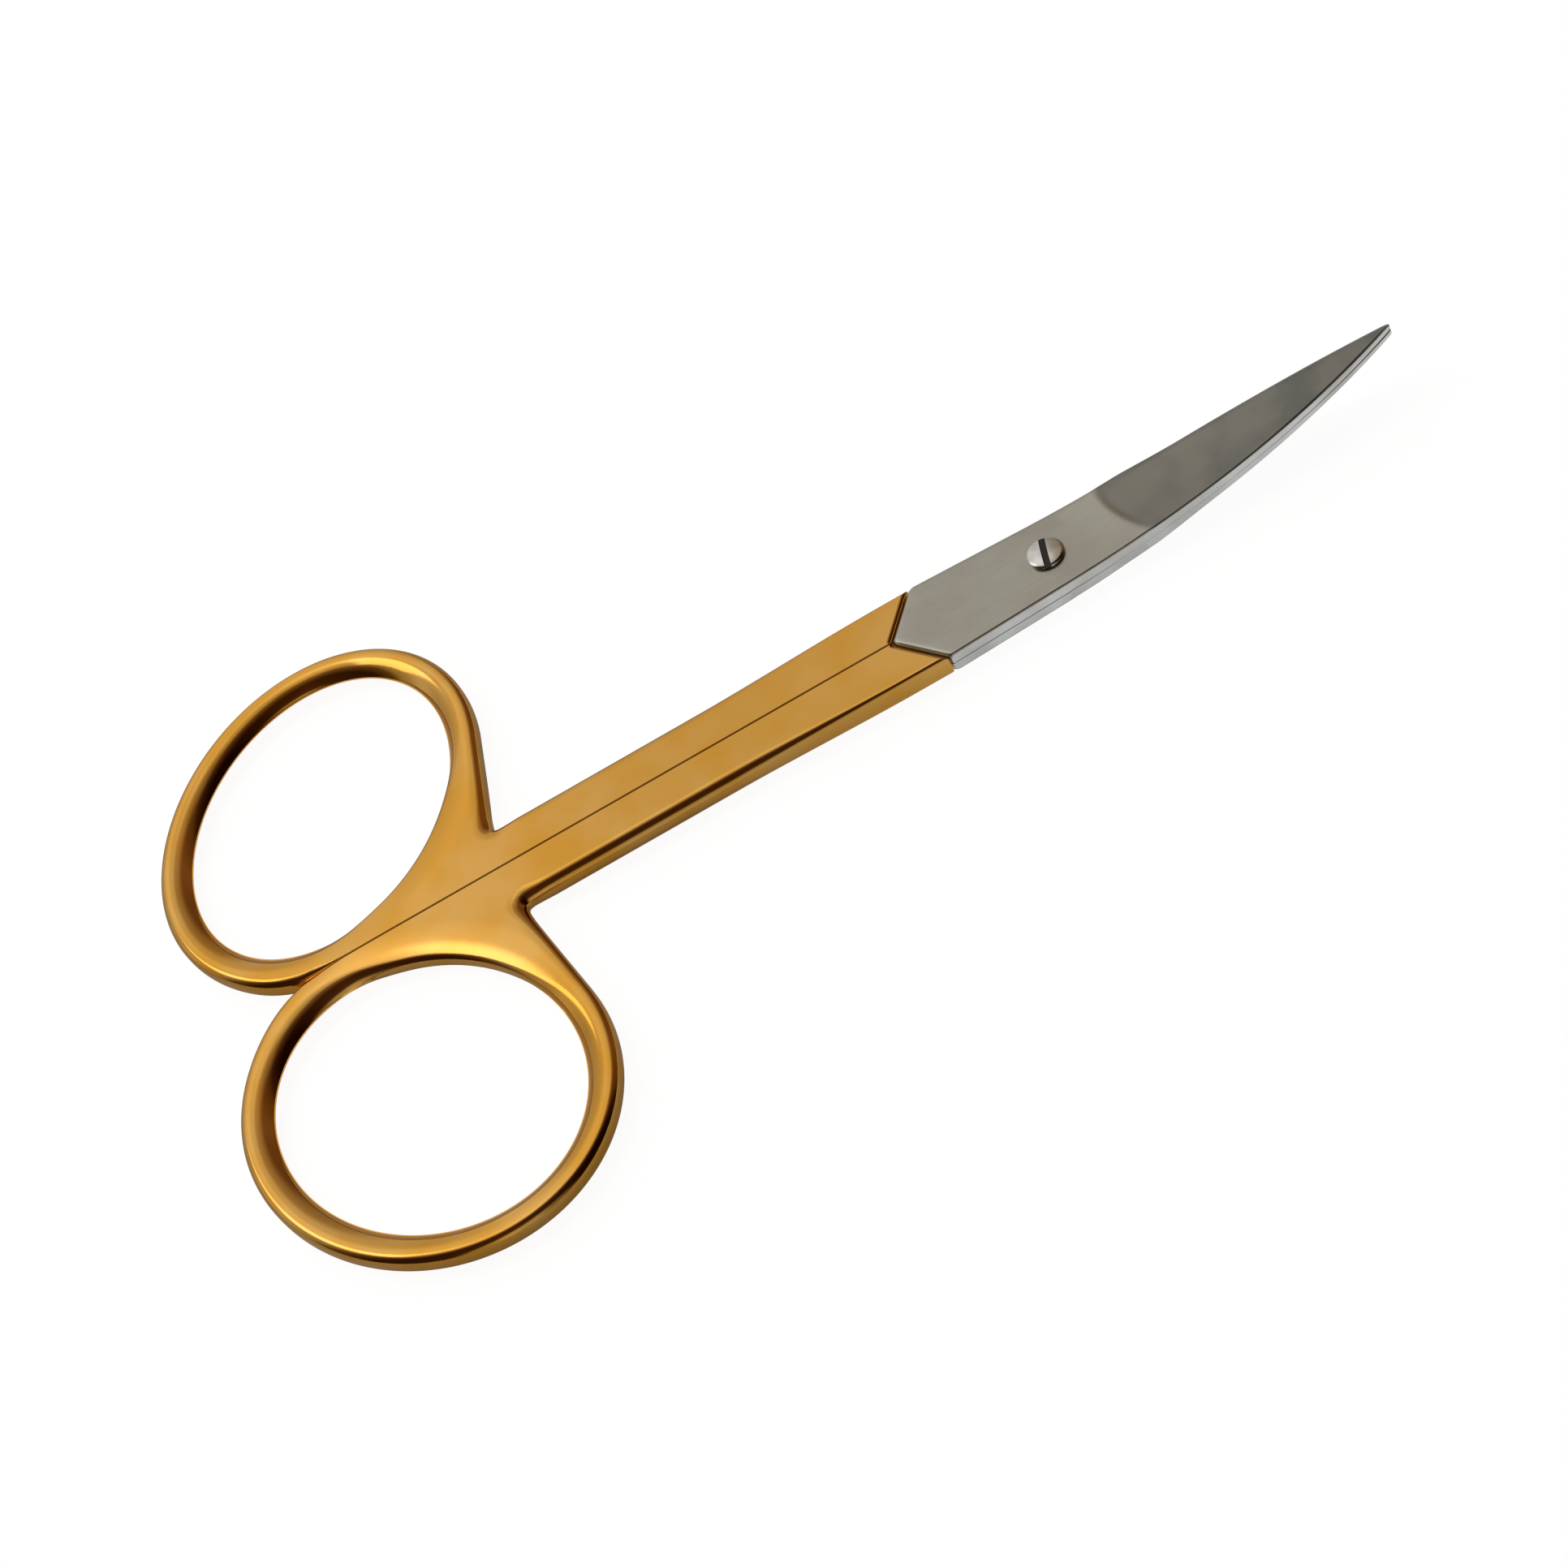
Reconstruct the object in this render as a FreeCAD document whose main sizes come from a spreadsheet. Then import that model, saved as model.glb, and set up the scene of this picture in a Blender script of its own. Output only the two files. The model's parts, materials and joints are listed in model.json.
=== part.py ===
import FreeCAD, Part
import math
import os
import re

import Sketcher

# Cuticle scissors, shown closed. The origin is on the pivot axis, in the plane
# that the scissors rest on. +X runs to the tips, +Z is up, and +Y is the side
# of the handle that carries the upper blade. Lengths are millimetres and
# angles are degrees.

SIZES = {
    # Both handles
    "handle_thickness": "1.7",
    "parting_gap": "0.1",
    "shank_width": "3.15",
    "shank_rounding": "0.5",
    "ring_reach": "50.2",
    "finger_long": "22.7",
    "finger_short": "18.7",
    "finger_end": "8.2",
    "ring_width": "2.25",
    "ring_lean": "55",
    "ring_flat": "0.1",
    "ring_rounding": "0.8",
    "crotch_reach": "38.6",
    "crotch_radius": "2",
    "fade_length": "3",
    # Chevron seam between the blades and the handles
    "chevron_reach": "11.5",
    "chevron_run": "2.75",
    "stop_gap": "0.1",
    # Both blades
    "blade_reach": "25.9",
    "tip_offset": "0.1",
    "joint_half": "2.9",
    "spine_half": "2.65",
    "spine_straight": "10.5",
    "edge_setback": "0.05",
    "edge_bevel": "0.5",
    "edge_land": "0.1",
    "blade_gap": "0.08",
    "tip_thickness": "0.5",
    "bend_start": "3",
    "bend_radius": "77",
    # Pivot screw
    "screw_diameter": "1.6",
    "pivot_clearance": "0.04",
    "head_diameter": "2.7",
    "head_clearance": "0.04",
    "head_rim": "0.22",
    "head_crown": "0.2",
    "slot_width": "0.42",
    "slot_depth": "0.28",
    "slot_turn": "76",
    # Extra length of every cutting shape
    "overrun": "1",
}

doc = FreeCAD.newDocument("cuticle_scissors")
sheet = doc.addObject("Spreadsheet::Sheet", "Sizes")
for row, (alias, number) in enumerate(SIZES.items(), start=1):
    sheet.set(f"A{row}", alias)
    sheet.set(f"B{row}", number)
    sheet.setAlias(f"B{row}", alias)
doc.recompute()

UP = FreeCAD.Vector(0, 0, 1)
HALF_TURN, FULL_TURN = 180, 360

# Sums of the named sizes that more than one piece uses
RING_END = "(finger_long / 2 - finger_end)"
RING_SIDE = ("((finger_long ^ 2 / 4 + finger_short ^ 2 / 4 - finger_long * finger_end)"
             " / (finger_short - 2 * finger_end))")
RING_OFFSET = (f"({RING_END} * sin(ring_lean) + finger_end + ring_width"
               " + parting_gap / 2 - ring_flat)")
RING_TOUCH = f"(-ring_reach - {RING_END} * cos(ring_lean))"
PLATE = "((handle_thickness - blade_gap) / 2)"
SEAM_INNER = "(-chevron_reach + parting_gap / 2 * chevron_run / shank_width)"
SEAM_OUTER = "(chevron_run - chevron_reach)"


def value(text):
    """The number that a sum of named sizes comes to."""
    return float(sheet.evalExpression(text))


def bind(thing, **sums):
    """Tie properties of an object to sums of named sizes."""
    for name, text in sums.items():
        tied = re.sub(r"[a-z_]+", lambda word: named(word.group()), text)
        thing.setExpression(name.replace("__", "."), tied)


def named(word):
    """A size's name as seen from outside the sheet; other words stay."""
    return f"Sizes.{word}" if word in SIZES else word


def new_sketch(name, role):
    """A body and a sketch on one of its own origin planes."""
    body = doc.addObject("PartDesign::Body", name)
    plane = next(item for item in body.Origin.OriginFeatures if item.Role == role)
    sketch = body.newObject("Sketcher::SketchObject", name + "_sketch")
    sketch.AttachmentSupport = [(plane, "")]
    sketch.MapMode = "FlatFace"
    return body, sketch


def point(corner):
    """The place of a corner given as two sums."""
    return FreeCAD.Vector(value(corner[0]), value(corner[1]), 0)


def add_line(sketch, start, end):
    """A straight side between two corners. Its ends are numbered 1 and 2."""
    sketch.addGeometry(Part.LineSegment(point(start), point(end)))
    return 1, 2


def add_arc(sketch, start, end, centre):
    """A round side about a centre, the short way from start to end, with its ends' numbers.

    A sketch's arcs run anticlockwise, so a clockwise side is drawn from its end to its start.
    """
    middle = point(centre)
    first, last = point(start) - middle, point(end) - middle
    ends = (1, 2) if first.cross(last).z > 0 else (2, 1)
    if ends == (2, 1):
        first, last = last, first
    circle = Part.Circle(middle, UP, first.Length)
    angles = [math.atan2(ray.y, ray.x) for ray in (first, last)]
    sketch.addGeometry(Part.ArcOfCircle(circle, *angles))
    return ends


def fix(sketch, kind, index, place, text):
    """Hold a point of the sketch at a distance from the origin."""
    distance = Sketcher.Constraint(kind, -1, 1, index, place, value(text))
    number = sketch.addConstraint(distance)
    bind(sketch, **{f"Constraints[{number}]": text})


def draw(sketch, corners, centres):
    """A closed outline. Side number i is an arc where centres holds a centre for it."""
    ends = []
    for index, corner in enumerate(corners):
        following = corners[(index + 1) % len(corners)]
        if index in centres:
            ends.append(add_arc(sketch, corner, following, centres[index]))
        else:
            ends.append(add_line(sketch, corner, following))
    for index, corner in enumerate(corners):
        last = (index - 1) % len(corners)
        meeting = (last, ends[last][1], index, ends[index][0])
        sketch.addConstraint(Sketcher.Constraint("Coincident", *meeting))
        fix(sketch, "DistanceX", index, ends[index][0], corner[0])
        fix(sketch, "DistanceY", index, ends[index][0], corner[1])
    for index, centre in centres.items():
        chord = point(corners[(index + 1) % len(corners)]) - point(corners[index])
        upright = abs(chord.y) > abs(chord.x)
        kind = "DistanceX" if upright else "DistanceY"
        fix(sketch, kind, index, 3, centre[0] if upright else centre[1])


def pad(name, corners, centres, length):
    """A body whose outline is drawn in plan and thickened upwards."""
    body, sketch = new_sketch(name, "XY_Plane")
    draw(sketch, corners, centres)
    solid = body.newObject("PartDesign::Pad", name + "_pad")
    solid.Profile = sketch
    bind(solid, Length=length)
    doc.recompute()
    return body


def turn(name, corners, centres, angle):
    """A body whose outline is drawn ahead of the pivot axis and turned about it, half to each side."""
    body, sketch = new_sketch(name, "XZ_Plane")
    draw(sketch, corners, centres)
    solid = body.newObject("PartDesign::Revolution", name + "_turn")
    solid.Profile = sketch
    solid.ReferenceAxis = (sketch, ["V_Axis"])
    solid.Midplane = True
    solid.Angle = angle
    doc.recompute()
    return body


def box(name, length, width, height, corner):
    """A block with one corner at the given place."""
    block = doc.addObject("Part::Box", name)
    bind(block, Length=length, Width=width, Height=height)
    bind(block, Placement__Base__x=corner[0], Placement__Base__y=corner[1])
    bind(block, Placement__Base__z=corner[2])
    return block


def cylinder(name, radius, bottom, height):
    """A round bar on the pivot axis."""
    bar = doc.addObject("Part::Cylinder", name)
    bind(bar, Radius=radius, Height=height, Placement__Base__z=bottom)
    return bar


def combine(kind, name, base, tool):
    """A cut, common part or union of two solids."""
    result = doc.addObject(f"Part::{kind}", name)
    result.Base = base
    result.Tool = tool
    result.Refine = True
    doc.recompute()
    return result


def oval(name, growth, side):
    """An upright prism round a finger ring's middle, larger all round than the opening by growth.

    Its outline is four arcs: two tighter ends, and two flatter sides that meet them smoothly.
    """
    side_drop = f"({RING_SIDE} - finger_short / 2)"
    spread = f"((finger_end + {growth}) / ({RING_SIDE} - finger_end))"
    across, along = f"{side_drop} * {spread}", f"{RING_END} * (1 + {spread})"
    corners = [
        (along, f"-{across}"),
        (along, across),
        (f"-{along}", across),
        (f"-{along}", f"-{across}"),
    ]
    centres = {
        0: (RING_END, "0"),
        1: ("0", f"-{side_drop}"),
        2: (f"-{RING_END}", "0"),
        3: ("0", side_drop),
    }
    body = pad(name, corners, centres, "handle_thickness")
    bind(body, Placement__Base__x="-ring_reach", Placement__Base__y=f"{side} * {RING_OFFSET}")
    bind(body, Placement__Rotation__Angle=f"{side} * ring_lean")
    doc.recompute()
    return body


def round_edges(name, base, chosen, radius):
    """Round the chosen edges of a solid."""
    doc.recompute()
    edges = [number for number, edge in enumerate(base.Shape.Edges, start=1) if chosen(edge)]
    result = doc.addObject("Part::Fillet", name)
    result.Base = base
    result.Edges = [(number, radius, radius) for number in edges]
    doc.recompute()
    return result


def is_level(edge):
    """True for an edge that lies flat."""
    return edge.BoundBox.ZLength < value("parting_gap") / 2


def finger_ring(name, side):
    """A flat oval ring with well rounded edges, flattened where it meets the other ring."""
    outside = oval(name + "_outside", "ring_width", side)
    band = combine("Cut", name + "_band", outside, oval(name + "_hole", "0", side))
    most_share = 0.45
    thinnest = min(value("ring_width"), value("handle_thickness"))
    rounding = min(value("ring_rounding"), most_share * thinnest)
    smooth = round_edges(name + "_smooth", band, is_level, rounding)
    low = "parting_gap / 2 - shank_width" if side > 0 else "-parting_gap / 2"
    beyond = box(name + "_beyond", "ring_reach + finger_long", "shank_width",
                 "handle_thickness + 2 * overrun", ("-ring_reach - finger_long", low, "-overrun"))
    return combine("Cut", name, smooth, beyond)


def shank(name, side):
    """The straight shank, cut to the chevron in front and flared into the ring behind.

    The rear corner on the parting side runs slantwise under the ring's own band, so that the
    sharp parting edge fades out where the ring rounds away from its neighbour.
    """
    inner = f"{side} * parting_gap / 2"
    outer = f"{side} * shank_width"
    flare = f"{side} * (shank_width + crotch_radius)"
    corners = [
        (SEAM_INNER, inner),
        (SEAM_OUTER, outer),
        ("-crotch_reach", outer),
        ("-crotch_reach - crotch_radius", flare),
        ("-ring_reach", f"{side} * {RING_OFFSET}"),
        (f"{RING_TOUCH} - fade_length", f"{side} * ring_width / 2"),
        (RING_TOUCH, inner),
    ]
    body = pad(name + "_blank", corners, {2: ("-crotch_reach", flare)}, "handle_thickness")
    across = value("shank_width - parting_gap")
    behind = value("-crotch_reach - crotch_radius - parting_gap")

    def is_outer(edge):
        ends = [(end.X, side * end.Y) for end in edge.Vertexes]
        return is_level(edge) and all(x > behind and y > across for x, y in ends)

    return round_edges(name, body, is_outer, value("shank_rounding"))


def handle(name, side):
    """One handle: finger ring, flare and shank."""
    stem = shank(name + "_shank", side)
    flare = combine("Cut", name + "_flare", stem, oval(name + "_middle", "ring_width / 2", side))
    return combine("Fuse", name, finger_ring(name + "_ring", side), flare)


def tip_arc(half, end):
    """Radius of the arc that leads a side of the blade, level at its start, to the tip."""
    run = "(blade_reach - spine_straight)"
    drop = f"({half} - {end})"
    return f"(({run} ^ 2 + {drop} ^ 2) / (2 * {drop}))"


def blade_outline(side):
    """Plan of one blade: chevron behind, wide at the pivot, spine and edge curving to the tip."""
    spine, edge = -side, side
    edge_half = "(spine_half - edge_setback)"
    corners = [
        (f"{SEAM_INNER} + stop_gap", f"{spine} * parting_gap / 2"),
        (f"{SEAM_OUTER} + stop_gap", f"{spine} * shank_width"),
        ("0", f"{spine} * joint_half"),
        ("spine_straight", f"{spine} * spine_half"),
        ("blade_reach", f"{edge} * tip_offset"),
        ("spine_straight", f"{edge} * {edge_half}"),
        ("0", f"{edge} * joint_half"),
        (SEAM_OUTER, f"{edge} * shank_width"),
        (SEAM_INNER, f"{edge} * parting_gap / 2"),
    ]
    centres = {
        3: ("spine_straight", f"{spine} * (spine_half - {tip_arc('spine_half', '-tip_offset')})"),
        4: ("spine_straight", f"{edge} * ({edge_half} - {tip_arc(edge_half, 'tip_offset')})"),
    }
    return corners, centres


def bent_profile(side):
    """Side view of one blade ahead of the pivot: level at first, then rising to the tip.

    The sliding face follows the bend with half the gap, and the outer face closes on it towards
    the tip. Both are turned about the pivot axis, so the blades slide past each other at any opening.
    """
    run, reach = "(blade_reach - bend_start)", "(blade_reach + overrun)"
    slide = f"(bend_radius - {side} * blade_gap / 2)"
    slide_rise = f"({slide} - sqrt({slide} ^ 2 - {run} ^ 2))"
    outer_rise = f"({slide_rise} - {side} * ({PLATE} - tip_thickness))"
    outer = f"(({run} ^ 2 + {outer_rise} ^ 2) / (2 * {outer_rise}))"
    slide_level = f"(handle_thickness / 2 + {side} * blade_gap / 2)"
    outer_level = f"(handle_thickness / 2 + {side} * handle_thickness / 2)"
    past = f"({reach} - bend_start)"
    corners = [
        ("0", slide_level),
        ("bend_start", slide_level),
        (reach, f"{slide_level} + {slide} - sqrt({slide} ^ 2 - {past} ^ 2)"),
        (reach, f"{outer_level} + {outer} - sqrt({outer} ^ 2 - {past} ^ 2)"),
        ("bend_start", outer_level),
        ("0", outer_level),
    ]
    centres = {
        1: ("bend_start", f"{slide_level} + {slide}"),
        3: ("bend_start", f"{outer_level} + {outer}"),
    }
    return corners, centres


def ground_edge(name, base, side):
    """Bevel the outer rim of the cutting side, from the end of the straight stretch to the tip.

    The bevel leaves a narrow land at the tip, where the blade is thinnest.
    """
    starts, stops = value("spine_straight"), value("blade_reach")
    near = value("edge_land")

    def on_cutting_side(curve):
        reach = curve.BoundBox
        along = abs(reach.XMin - starts) < near and abs(reach.XMax - stops) < near
        return along and side * curve.CenterOfMass.y > near

    rims = [number for number, curve in enumerate(base.Shape.Edges, start=1) if on_cutting_side(curve)]
    outermost = max(rims, key=lambda number: side * base.Shape.Edges[number - 1].CenterOfMass.z)
    result = doc.addObject("Part::Chamfer", name)
    result.Base = base
    result.Edges = [(outermost, value("edge_bevel"), value("tip_thickness - edge_land"))]
    doc.recompute()
    return result


def blade(name, side, bore):
    """One blade with its half of the lap joint, its ground edge and the hole for the screw."""
    plan = pad(name + "_plan", *blade_outline(side), "handle_thickness + blade_reach")
    bend = turn(name + "_bend", *bent_profile(side), HALF_TURN)
    front = combine("Common", name + "_front", plan, bend)
    low = "(handle_thickness + blade_gap) / 2" if side > 0 else "0"
    corner = ("-chevron_reach", "-shank_width", low)
    level = box(name + "_level", "chevron_reach", "2 * shank_width", PLATE, corner)
    back = combine("Common", name + "_back", plan, level)
    whole = combine("Fuse", name + "_whole", front, back)
    hole = cylinder(name + "_hole", bore, "-overrun", "handle_thickness + 2 * overrun")
    return ground_edge(name, combine("Cut", name + "_bored", whole, hole), side)


def pivot_screw(name):
    """Slotted screw with a low crowned head, threaded into the lower blade and flush under it."""
    seat = "(handle_thickness + head_clearance)"
    rim = f"({seat} + head_rim)"
    crown = f"({rim} + head_crown)"
    half = "(head_diameter / 2)"
    dome = f"(({half} ^ 2 + head_crown ^ 2) / (2 * head_crown))"
    corners = [
        ("0", "0"),
        ("screw_diameter / 2", "0"),
        ("screw_diameter / 2", seat),
        (half, seat),
        (half, rim),
        ("0", crown),
    ]
    bar = turn(name + "_bar", corners, {4: ("0", f"{crown} - {dome}")}, FULL_TURN)
    corner = (
        "slot_width / 2 * sin(slot_turn) - head_diameter * cos(slot_turn)",
        "-slot_width / 2 * cos(slot_turn) - head_diameter * sin(slot_turn)",
        f"{crown} - slot_depth",
    )
    slot = box(name + "_slot", "2 * head_diameter", "slot_width", "slot_depth + overrun", corner)
    bind(slot, Placement__Rotation__Angle="slot_turn")
    return combine("Cut", name, bar, slot)


pieces = [
    handle("upper_handle", 1),
    handle("lower_handle", -1),
    blade("upper_blade", 1, "screw_diameter / 2 + pivot_clearance"),
    blade("lower_blade", -1, "screw_diameter / 2"),
    pivot_screw("pivot_screw"),
]
doc.recompute()

for thing in doc.Objects:
    if "Invalid" in thing.State or "Error" in thing.State:
        raise RuntimeError(f"{thing.Name} failed: {thing.State}")
for piece in pieces:
    if piece.Shape.isNull() or not piece.Shape.isValid() or len(piece.Shape.Solids) != 1:
        raise RuntimeError(f"{piece.Label} has no sound solid")

os.makedirs("parts", exist_ok=True)
for piece in pieces:
    piece.Shape.exportStep(f"parts/{piece.Label}.step")
    print(piece.Label, piece.Shape.Volume)
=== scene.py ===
"""Cuticle scissors: gold-plated handles, satin steel blades and a slotted pivot screw."""

import json
import math

import bpy
import numpy as np
from mathutils import Matrix, Vector


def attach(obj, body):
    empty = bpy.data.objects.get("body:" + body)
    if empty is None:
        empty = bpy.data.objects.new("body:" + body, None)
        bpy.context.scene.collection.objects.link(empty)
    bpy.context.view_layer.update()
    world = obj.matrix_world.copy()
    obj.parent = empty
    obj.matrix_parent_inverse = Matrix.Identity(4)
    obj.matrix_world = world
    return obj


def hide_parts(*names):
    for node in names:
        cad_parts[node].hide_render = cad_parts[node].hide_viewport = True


bl_info = {
    "name": "Cuticle scissors",
    "version": (1, 0, 0),
    "blender": (4, 5, 0),
    "location": "3D View > Sidebar > Scissors",
    "description": "Builds small curved scissors round their packed frame",
    "category": "Add Mesh",
}

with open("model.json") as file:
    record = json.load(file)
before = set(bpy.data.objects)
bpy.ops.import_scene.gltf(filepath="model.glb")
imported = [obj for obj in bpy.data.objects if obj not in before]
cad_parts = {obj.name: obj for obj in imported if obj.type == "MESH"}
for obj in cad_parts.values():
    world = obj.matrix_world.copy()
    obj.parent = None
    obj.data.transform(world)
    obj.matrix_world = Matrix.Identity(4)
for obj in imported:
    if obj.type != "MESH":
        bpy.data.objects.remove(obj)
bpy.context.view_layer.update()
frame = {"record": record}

MILLIMETRE = 0.001
PHOTO_PIXELS = 1932
UPPER, LOWER = 1, -1
# Faces that meet more sharply than this keep a crisp edge
SHARP_ANGLE = math.radians(38)


# Properties that a user would change

def length(name, description, millimetres):
    """A length property whose default is given in millimetres."""
    return bpy.props.FloatProperty(
        name=name,
        description=description,
        default=millimetres * MILLIMETRE,
        unit="LENGTH",
        subtype="DISTANCE",
        precision=5,
    )


def angle(name, description, degrees):
    """An angle property whose default is given in degrees."""
    return bpy.props.FloatProperty(
        name=name,
        description=description,
        default=math.radians(degrees),
        unit="ROTATION",
        subtype="ANGLE",
    )


def colour(name, description, red, green, blue):
    """A colour property in linear light."""
    return bpy.props.FloatVectorProperty(
        name=name,
        description=description,
        default=(red, green, blue),
        subtype="COLOR",
        size=3,
        min=0.0,
        max=1.0,
    )


def share(name, description, default):
    """A plain number property, from 0 up."""
    return bpy.props.FloatProperty(name=name, description=description, default=default, min=0.0)


class HandleSizes(bpy.types.PropertyGroup):
    """Sizes of both handles."""

    thickness: length("Thickness", "Thickness of the handles and of the closed joint", 1.7)
    gap: length("Parting gap", "Gap between the closed shanks", 0.07)
    width: length("Shank width", "Distance from the parting line to a shank's outer side", 3.45)
    edge: length("Shank edge", "Rounding of the shank's outer edges by the seam", 0.3)
    edge_rear: length("Rear edge", "Rounding of the shank's outer edges by the crotch", 0.85)
    parting_edge: length("Parting edge", "Rounding of the edges along the parting line", 0.07)
    seam_edge: length("Seam edge", "Rounding of the front end at the chevron seam", 0.3)
    reach: length("Ring reach", "Distance from the pivot back to the middle of a finger ring", 50.17)
    offset: length("Ring offset", "Distance from the parting line to the middle of a ring", 12.98)
    lean: angle("Ring lean", "Lean of the ring's long axis from the shank", 55.0)
    long: length("Finger length", "Long way across the finger opening", 22.7)
    short: length("Finger width", "Short way across the finger opening", 18.7)
    band: length("Ring width", "Width of the ring's band seen from above", 2.25)
    inner_round: length("Inner round", "Width of the ring's rounding towards the finger", 1.45)
    outer_round: length("Outer round", "Width of the ring's rounding on its outer side", 0.55)
    shed: length("Shed", "How far the ring's face sinks towards its outer side", 0.12)
    shed_reach: length("Shed reach", "How far from the outer side the ring's face begins to sink", 1.2)
    heel: length("Heel", "Extra width of the band where the closed rings touch", 0.4)
    ease: length("Heel ease", "Height over the parting line at which the ring begins to turn along it", 0.12)
    flank: length("Flank", "How high on the ring the crotch begins to flare", 12.0)
    crotch: length("Crotch", "Distance from the pivot to the corner of the crotch", 40.0)
    crotch_round: length("Crotch round", "Width of the rounding at the crotch's corner", 1.15)
    crotch_run: length("Crotch run", "How far in front of its corner the crotch joins the shank's side", 1.7)
    inner_edge: length("Inner edge", "Rounding of the finger opening beside the shank", 0.42)
    crown: length("Crown", "How far the flat face sinks towards the finger opening", 0.3)
    crown_reach: length("Crown reach", "How far from the finger opening the face begins to sink", 2.8)
    seam: length("Seam", "Distance from the pivot to the point of the chevron seam", 11.456)
    seam_run: length("Seam run", "How far the chevron's arms reach forward", 2.706)


class BladeSizes(bpy.types.PropertyGroup):
    """Sizes of both blades."""

    reach: length("Reach", "Distance from the pivot to the tips", 25.72)
    tip: length("Tip offset", "How far a tip stands past the middle line", 0.03)
    blunt: length("Tip half-width", "Half the width of the rounded tips", 0.13)
    waist: length("Waist", "Distance from the pivot to where the sides begin to curve", 5.0)
    half: length("Half-width", "Distance from the middle line to the cutting edge at the waist", 2.82)
    extra: length("Spine extra", "How much further out the spine lies than the edge", 0.04)
    taper: share("Taper", "Power of the curve by which the sides close on the tips", 2.6)
    gap: length("Blade gap", "Gap between the two blades", 0.055)
    seam: length("Seam gap", "Open groove between a blade and its own handle", 0.14)
    proud: length("Screw end", "How far the screw's end stands proud of the lower blade", 0.03)
    stop: length("Stop gap", "Extra gap between a blade and the opposite handle", 0.06)
    thin: length("Tip thickness", "Thickness of a blade at its tip", 0.5)
    bend: length("Bend start", "Distance from the pivot to where the blades begin to rise", 2.4)
    kick: share("Kick", "Slope that the blades take up just ahead of the bend's start", 0.07)
    soften: length("Softening", "Length over which the kick comes in", 0.8)
    lift: length("Lift", "Height of the sliding faces at the tips over the joint", 3.25)
    bevel: length("Bevel width", "Width of the bevel along the cutting edge", 0.35)
    bevel_drop: length("Bevel drop", "Height that the bevel takes off the edge", 0.2)
    round: length("Spine edge", "Rounding of the spine's outer edge", 0.15)
    hollow: length("Hollow", "Depth of the hollow ground into the face ahead of the shoulder", 0.1)
    shoulder: length("Shoulder", "Distance from the pivot to the shoulder line", 4.95)


class ScrewSizes(bpy.types.PropertyGroup):
    """Sizes of the pivot screw."""

    shank: length("Shank diameter", "Diameter of the plain shank", 1.6)
    head: length("Head diameter", "Diameter of the head", 2.56)
    clearance: length("Head clearance", "Gap under the head", 0.04)
    rim: length("Rim", "Height of the head's straight rim", 0.22)
    crown: length("Crown", "Height of the crown above the rim", 0.2)
    slot: length("Slot width", "Width of the slot", 0.42)
    slot_depth: length("Slot depth", "Depth of the slot", 0.28)
    turn: angle("Slot turn", "Turn of the slot from the blades' length", 76.0)


class Finishes(bpy.types.PropertyGroup):
    """Colours and polish of the metals."""

    gold: colour("Gold", "Colour of the plating", 0.86, 0.415, 0.058)
    gold_pale: colour("Pale gold", "Colour of the plating's paler drifts", 0.9, 0.485, 0.115)
    gold_polish: share("Gold roughness", "Roughness of the polished plating", 0.11)
    steel: colour("Steel", "Colour of the blades' flat joint", 0.56, 0.54, 0.455)
    # Darker copy of the steel for the ground face: partly its real ground tone, partly painted shade
    ground_steel_and_shade: colour("Ground steel", "Colour of the ground blades", 0.165, 0.162, 0.142)
    # Painted reflection: a paler copy of the steel that paints the light reflected by the blades' sides
    steel_side_sheen: colour("Side steel", "Colour of the blades' polished sides", 0.95, 0.94, 0.9)
    steel_polish: share("Steel roughness", "Roughness of the satin steel", 0.34)
    steel_warm: colour("Warm steel", "Colour that the blades drift towards", 0.42, 0.37, 0.3)
    screw: colour("Screw", "Colour of the screw", 0.85, 0.83, 0.76)
    # Painted shade: dark colour that paints the shade inside the screw's narrow slot
    slot_shade: colour("Slot_shade", "Colour of the grime in the screw's slot", 0.05, 0.045, 0.04)
    screw_polish: share("Screw roughness", "Roughness of the screw", 0.16)


class StageSizes(bpy.types.PropertyGroup):
    """Camera, floor and light."""

    azimuth: angle("Azimuth", "Turn of the camera round the upright axis", 3.0)
    elevation: angle("Elevation", "Height of the camera above the floor", 48.5)
    roll: angle("Roll", "Turn of the camera about its own view", 31.95)
    distance: length("Distance", "Distance from the camera to the pivot", 210.0)
    pixels: share("Pixels per millimetre", "Scale of the photograph at the pivot", 19.3)
    pivot_x: share("Pivot across", "Pivot's place in the photograph, in pixels from the left", 1288.5)
    pivot_y: share("Pivot down", "Pivot's place in the photograph, in pixels from the top", 683.6)
    floor: length("Floor", "Half the width of the floor", 2000.0)
    lamp: length("Lamp", "Width of the soft lamp", 300.0)
    lamp_power: share("Lamp power", "Power of the soft lamp in watts", 0.3)


# Surfaces

# Points that are set against an outline at once, so that the table of gaps stays small
BLOCK_POINTS = 1500
# Least square of a segment's length, so that nothing is divided by zero
LEAST_SQUARE = 1e-18


def crowded(count):
    """Steps from 0 to 1 that crowd together at both ends: (1 - cos of a half turn) / 2."""
    return (1 - np.cos(np.linspace(0, np.pi, count))) / 2


def smooth(values, low, high):
    """0 below low, 1 above high, and an S-curve (3 x squared - 2 x cubed) between."""
    part = np.clip((values - low) / (high - low), 0, 1)
    return part * part * (3 - 2 * part)


def quads(index):
    """Corner numbers of the quads between neighbouring rows and columns of a grid of numbers."""
    corners = [index[:-1, :-1], index[1:, :-1], index[1:, 1:], index[:-1, 1:]]
    return np.stack(corners, axis=-1).reshape(-1, 4)


def roll_off(depth, radius, fall):
    """Drop below a flat face beside a rounded edge: a quarter ellipse, radius wide and fall high."""
    part = np.clip(1 - depth / radius, 0, 1)
    return fall * (1 - np.sqrt(1 - part * part))


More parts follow.
